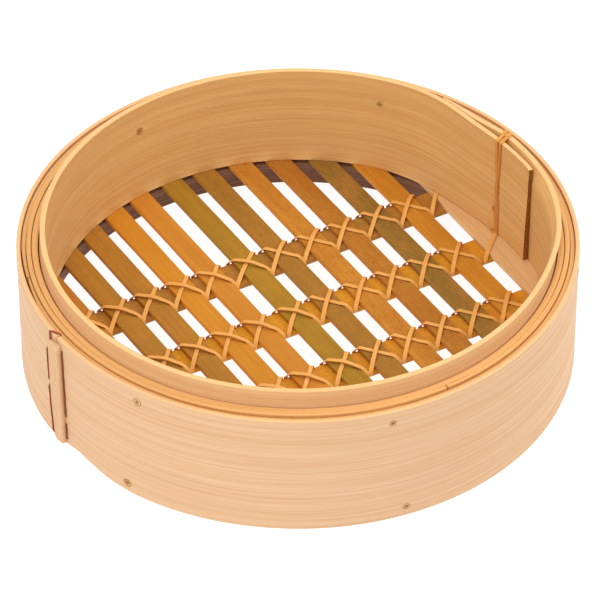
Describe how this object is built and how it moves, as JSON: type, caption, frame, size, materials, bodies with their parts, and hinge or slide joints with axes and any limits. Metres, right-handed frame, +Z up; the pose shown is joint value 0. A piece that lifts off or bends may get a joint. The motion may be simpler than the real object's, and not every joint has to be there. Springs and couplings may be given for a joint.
{
  "type": "bamboo steamer basket",
  "caption": "Round bamboo steamer tier with bent hoops, a stacking lip and a floor of slats lashed with cane to cross bars.",
  "frame": {"origin": "on the ground, on the hoops' axis", "axes": "+Z up along the hoops' axis, X along the cross bars, Y along the slats, the cleat at -X"},
  "size_m": [0.2565, 0.254, 0.0705],
  "materials": {
    "bamboo_skin": "satin",
    "bamboo_inner": "satin",
    "bamboo_slat": "satin",
    "cane": "satin",
    "dyed_cane": "satin",
    "bamboo_pin": "matte"
  },
  "bodies": {
    "root": {"base_hoop": "bamboo_inner", "cleat_stitching": "dyed_cane", "cross_bar_front": "bamboo_slat", "cross_bar_middle": "bamboo_slat", "cross_bar_rear": "bamboo_slat", "filler_hoop_inner": "bamboo_inner", "filler_hoop_middle": "bamboo_inner", "filler_hoop_outer": "bamboo_inner", "hoop_binding": "cane", "inner_hoop": "bamboo_inner", "joint_cleat": "bamboo_skin", "lashing_front_lower_strand": "cane", "lashing_front_upper_strand": "cane", "lashing_middle_lower_strand": "cane", "lashing_middle_upper_strand": "cane", "lashing_rear_lower_strand": "cane", "lashing_rear_upper_strand": "cane", "lower_pins": "bamboo_pin", "outer_band": "bamboo_skin", "slat_01": "bamboo_inner", "slat_02": "bamboo_slat", "slat_03": "bamboo_slat", "slat_04": "bamboo_slat", "slat_05": "bamboo_slat", "slat_06": "bamboo_slat", "slat_07": "bamboo_slat", "slat_08": "bamboo_slat", "slat_09": "bamboo_slat", "slat_10": "bamboo_slat", "slat_11": "bamboo_slat", "slat_12": "bamboo_slat", "slat_13": "bamboo_inner", "upper_pins": "bamboo_pin"}
  },
  "joints": []
}
